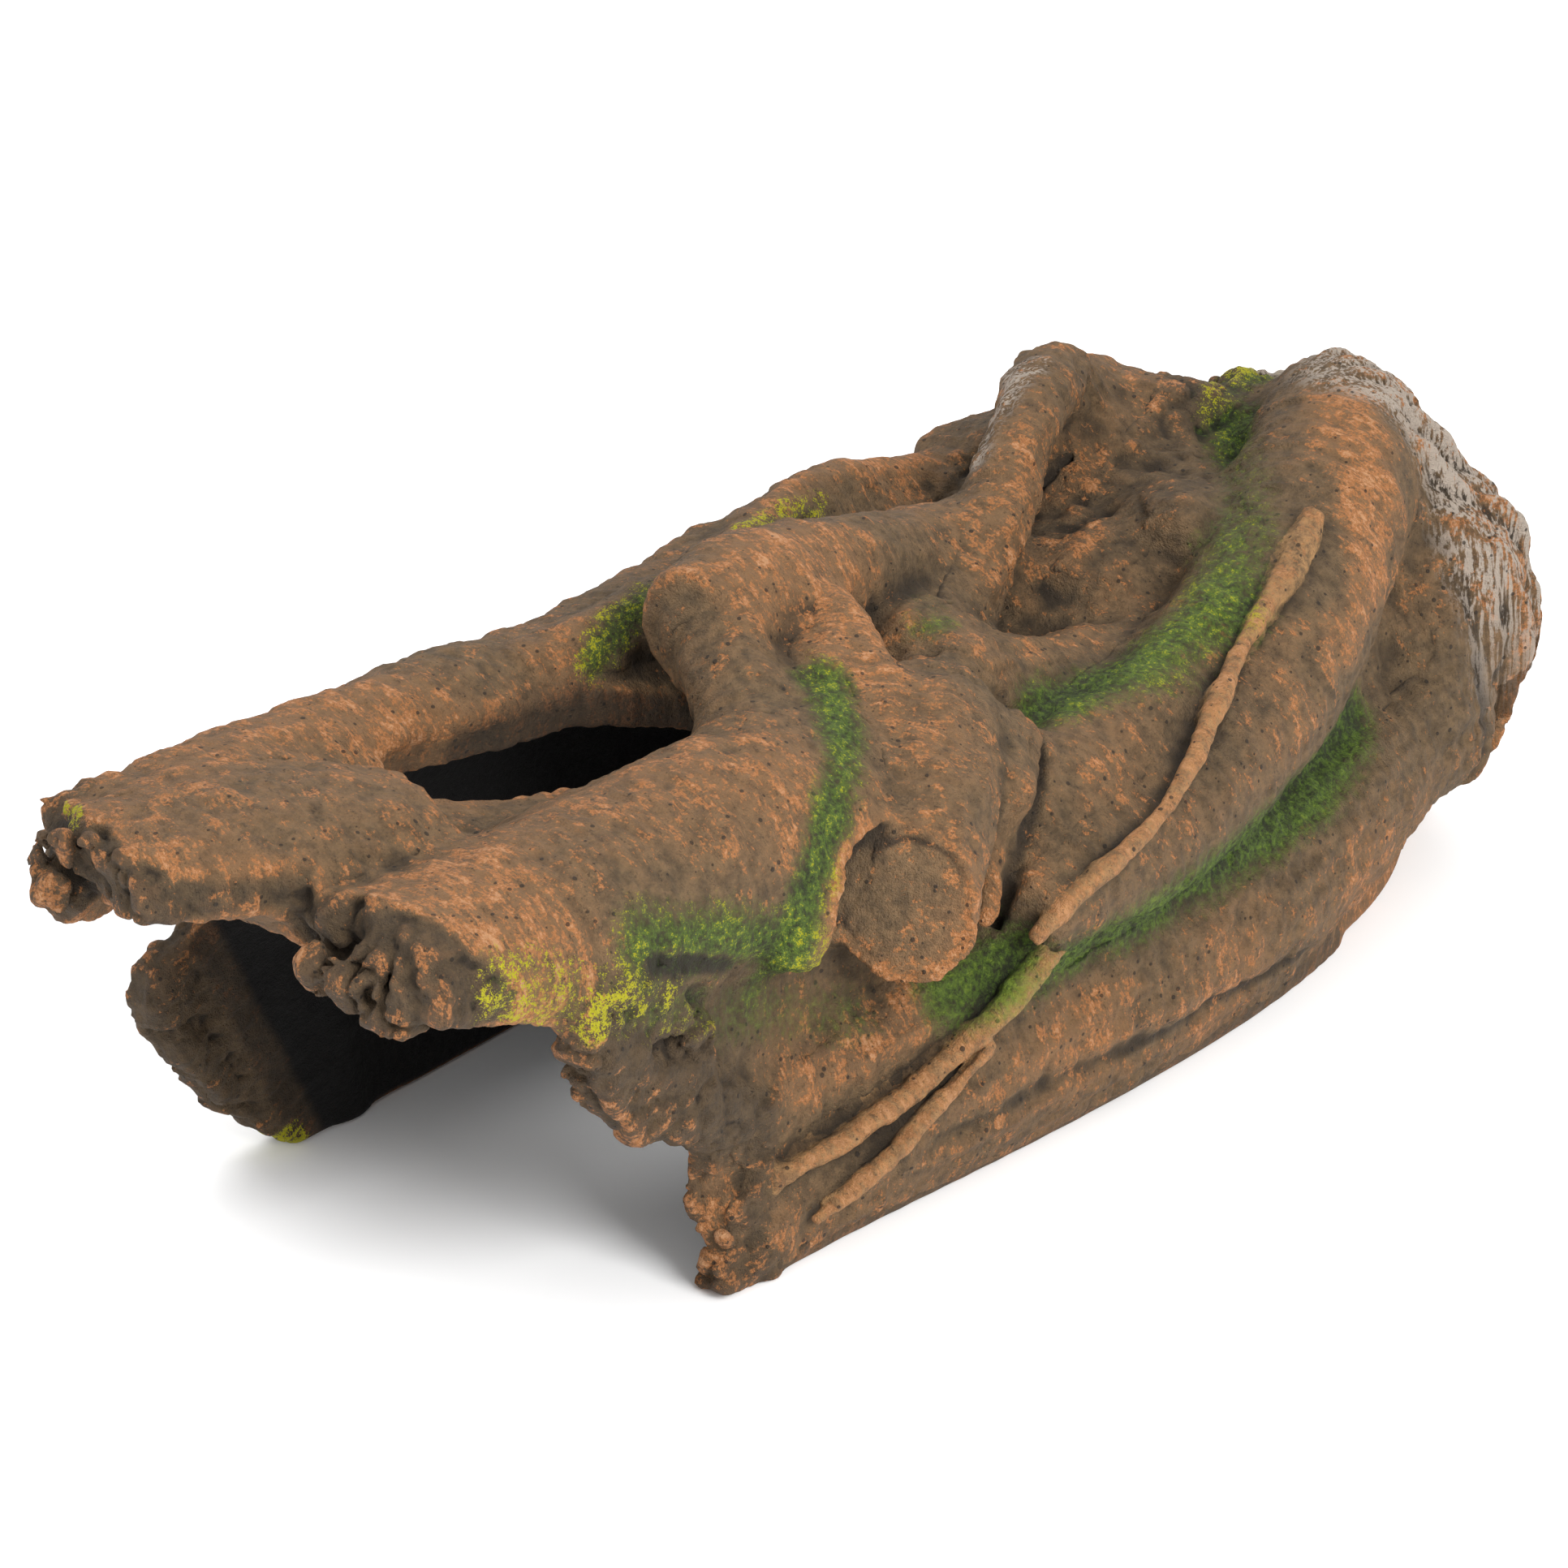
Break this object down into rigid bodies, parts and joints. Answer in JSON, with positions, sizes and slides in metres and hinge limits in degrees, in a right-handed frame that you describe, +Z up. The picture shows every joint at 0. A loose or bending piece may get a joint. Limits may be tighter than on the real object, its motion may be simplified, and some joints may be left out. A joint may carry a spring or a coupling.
{
  "type": "aquarium cave ornament",
  "caption": "Hollow resin log cave for an aquarium or pond, open underneath and at its mouth, with a skylight, sawn branch, arched root and climbing vines for fish to swim through",
  "frame": {"origin": "Centre of the bounding box at the resting face, z = 0 under the rim of the shell.", "axes": "+Z up; +Y along the log from its broken mouth to its stump end; +X towards the side with the sawn branch and the vines."},
  "size_m": [0.1616, 0.406, 0.133],
  "materials": {
    "base_rim": "painted polyresin, matt, dark brown, scuffed",
    "broken_edge": "painted polyresin, matt, rough broken-wood texture, dark umber with rust highlights",
    "cast_shell": "painted polyresin, matt, umber with orange dry-brushing, near-black inside",
    "mossy_root": "painted polyresin, matt, green and yellow-green moss colour over umber",
    "pale_bark": "painted polyresin, matt, weathered pale grey-pink bark over umber",
    "root_bark": "painted polyresin, matt, orange-brown dry-brushing over umber, small casting pits",
    "vine_resin": "painted polyresin, satin-matt, light tan-brown"
  },
  "bodies": {
    "root": {"arch_root": "pale_bark", "back_crest": "root_bark", "back_flake": "broken_edge", "base_rim": "base_rim", "base_root": "root_bark", "far_base_root": "root_bark", "far_climbing_root": "root_bark", "far_front_root": "root_bark", "far_lip_chunk": "broken_edge", "far_roof_limb": "root_bark", "far_shoulder_limb": "root_bark", "far_wall_chunk": "broken_edge", "fork_vine": "vine_resin", "fork_vine_branch": "vine_resin", "groove_root": "mossy_root", "knee_limb": "root_bark", "knee_post": "root_bark", "log_shell": "cast_shell", "long_vine": "vine_resin", "mossy_back_root": "mossy_root", "near_leg": "broken_edge", "near_lip_chunk": "broken_edge", "near_roof_limb": "root_bark", "near_root": "root_bark", "near_wall_chunk": "broken_edge", "roof_tongue": "root_bark", "saddle_root": "root_bark", "sawn_branch": "root_bark", "small_root": "root_bark", "stump_buttress": "pale_bark", "stump_crest": "pale_bark", "stump_flare": "pale_bark", "stump_limb": "root_bark", "thin_back_root": "root_bark", "upper_base_root": "root_bark", "valley_limb": "root_bark", "valley_stub": "root_bark"}
  },
  "joints": []
}
